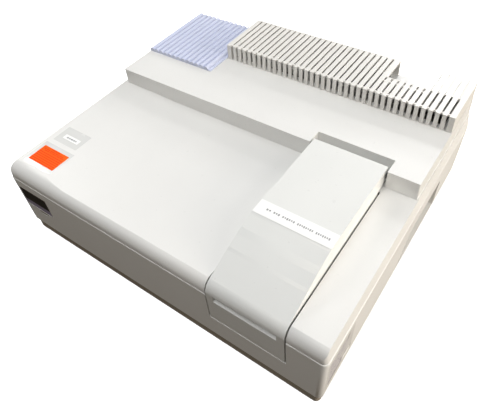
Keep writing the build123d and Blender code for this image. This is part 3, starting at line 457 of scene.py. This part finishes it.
STRIP_LOW = 203.0
STRIP_PAPER, STRIP_INK = STRIP_LOW + 0.2, STRIP_LOW + 0.25
STRIP_FIELD = (127.9, -155, 260.7, -127.5)
STRIP_ROW = (145, -143.6, (9, 12, 22, 27, 24))
STRIP_ROW_HEIGHT, STRIP_ROW_GAP = 4.2, 3.4
DASH_PITCH, DASH_FILL, DASH_RISE, DASH_DROP = 3.6, 0.62, 1.6, 0.4


def rounded_outline(x0, y0, x1, y1):
    """Corner points of a rectangle with rounded corners, anticlockwise."""
    corner = min(CORNER, CORNER_SHARE * min(x1 - x0, y1 - y0))
    outline = []
    for cx, cy, start in ((x1 - corner, y1 - corner, 0), (x0 + corner, y1 - corner, 90),
                          (x0 + corner, y0 + corner, 180), (x1 - corner, y0 + corner, 270)):
        for step in range(CORNER_STEPS + 1):
            angle = math.radians(start + 90 / CORNER_STEPS * step)
            outline.append((cx + corner * math.cos(angle), cy + corner * math.sin(angle)))
    return outline


def printed_piece(name, layers, body, replaced=None, frame_matrix=None):
    """Thin printed sheets in one mesh; a layer is a material and boxes of x0, y0, x1, y1, z0, z1."""
    mesh = bpy.data.meshes.new(name)
    build = bmesh.new()
    for index, (material, boxes) in enumerate(layers):
        mesh.materials.append(material)
        for x0, y0, x1, y1, z0, z1 in boxes:
            outline = rounded_outline(x0, y0, x1, y1)
            low = [build.verts.new((x * MM, y * MM, z0 * MM)) for x, y in outline]
            high = [build.verts.new((x * MM, y * MM, z1 * MM)) for x, y in outline]
            faces = [build.faces.new(high), build.faces.new(low[::-1])]
            for i in range(len(outline)):
                j = (i + 1) % len(outline)
                faces.append(build.faces.new((low[i], low[j], high[j], high[i])))
            for face in faces:
                face.material_index = index
    if frame_matrix:
        bmesh.ops.transform(build, matrix=frame_matrix, verts=build.verts)
    build.to_mesh(mesh)
    build.free()
    piece = bpy.data.objects.new(name, mesh)
    scene.collection.objects.link(piece)
    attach(piece, body)
    if replaced:
        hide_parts(replaced)


def word_row(x, y, widths, height, gap, z0, z1):
    """Row of plain dashes that stands for a line of print."""
    boxes = []
    for width in widths:
        boxes.append((x, y, x + width, y + height, z0, z1))
        x += width + gap
    return boxes


def broken_up(dashes):
    """Dashes cut into short plain marks of uneven height."""
    marks = []
    for x0, y0, x1, y1, z0, z1 in dashes:
        count = max(1, round((x1 - x0) / DASH_PITCH))
        step = (x1 - x0) / count
        for i in range(count):
            rise = DASH_RISE * ((i * 7 + int(x0)) % 3) / 3
            left, right = x0 + i * step, x0 + (i + DASH_FILL) * step
            marks.append((left, y0 + rise, right, y1 - DASH_DROP * rise, z0, z1))
    return marks


def make_inks():
    """Films, papers and inks of the labels, by name."""
    return {
        "film": moulded("clear_sheet", (0.735, 0.735, 0.72), 0.22, 900, 0.00002, mottle=0.01, coat=0.5),
        "orange": moulded("orange_ink", (0.93, 0.125, 0.008), 0.6, 1500, 0.00002, mottle=0.04, specular=0.1),
        "red": moulded("red_ink", (0.90, 0.05, 0.006), 0.6, 1500, 0.00002, mottle=0.04, specular=0.1),
        "white": moulded("white_paper", (0.94, 0.94, 0.93), 0.5, 3000, 0.00003, mottle=0.01),
        "grey": moulded("grey_ink", (0.30, 0.30, 0.31), 0.5, 3000, 0.00002, mottle=0.1),
        "silver": moulded("silver_foil", (0.83, 0.82, 0.80), 0.3, 1500, 0.00002, mottle=0.03, coat=0.3),
        "violet": moulded("violet_ink", (0.40, 0.37, 0.45), 0.45, 1500, 0.00002, mottle=0.1),
    }


def make_deck_labels(inks):
    """Orange label and white label at the left of the deck, each on its clear film."""
    rows = [(STRIPE_LEFT, y, STRIPE_RIGHT, y + STRIPE_HEIGHT, PAPER_TOP, INK_TOP) for y in STRIPE_STARTS]
    for x, y, widths, gap in ORANGE_ROWS:
        rows += word_row(x, y, widths, ORANGE_ROW_HEIGHT, gap, PAPER_TOP, INK_TOP)
    printed_piece("deck_labels", [
        (inks["film"], [(*field, DECK_TOP, FILM_TOP) for field in DECK_FILMS]),
        (inks["orange"], [(*ORANGE_FIELD, FILM_TOP, PAPER_TOP)]),
        (inks["red"], rows),
        (inks["white"], [(*WHITE_FIELD, FILM_TOP, PAPER_TOP)]),
        (inks["grey"], word_row(*WHITE_ROW, WHITE_ROW_HEIGHT, WHITE_ROW_GAP, PAPER_TOP, INK_TOP)),
    ], "instrument", "labels")


def make_rating_plate(inks):
    """Foil plate on the right side, leaning in with the wall that it sticks to."""
    lean = math.atan2(WALL_RUN, WALL_RISE)
    on_wall = Matrix.Translation(PLATE_MIDDLE) @ Matrix((
        (0, math.sin(lean), math.cos(lean), 0),
        (1, 0, 0, 0),
        (0, math.cos(lean), -math.sin(lean), 0),
        (0, 0, 0, 1)))
    marks = []
    for y, widths in PLATE_ROWS:
        marks += word_row(PLATE_LEFT, y, widths, PLATE_ROW_HEIGHT, PLATE_ROW_GAP, PLATE_PAPER, PLATE_INK)
    printed_piece("rating_plate", [
        (inks["silver"], [(*PLATE_FIELD, 0, PLATE_PAPER)]),
        (inks["violet"], marks),
        (inks["white"], [(*PLATE_BLANK, PLATE_PAPER, PLATE_INK)]),
    ], "instrument", frame_matrix=on_wall)


def make_lid_strip(inks):
    """White strip across the lid, with one row of plain marks."""
    dashes = word_row(*STRIP_ROW, STRIP_ROW_HEIGHT, STRIP_ROW_GAP, STRIP_PAPER, STRIP_INK)
    printed_piece("lid_strip", [
        (inks["white"], [(*STRIP_FIELD, STRIP_LOW, STRIP_PAPER)]),
        (inks["grey"], broken_up(dashes)),
    ], "lid", "lid_label")


def make_labels():
    """Every printed label, with plain marks in place of print."""
    inks = make_inks()
    make_deck_labels(inks)
    make_rating_plate(inks)
    make_lid_strip(inks)


make_camera()
make_studio()
dress_nodes()
for part_name, edge_width in EDGE_WIDTHS.items():
    round_edges(part_name, edge_width)
make_labels()
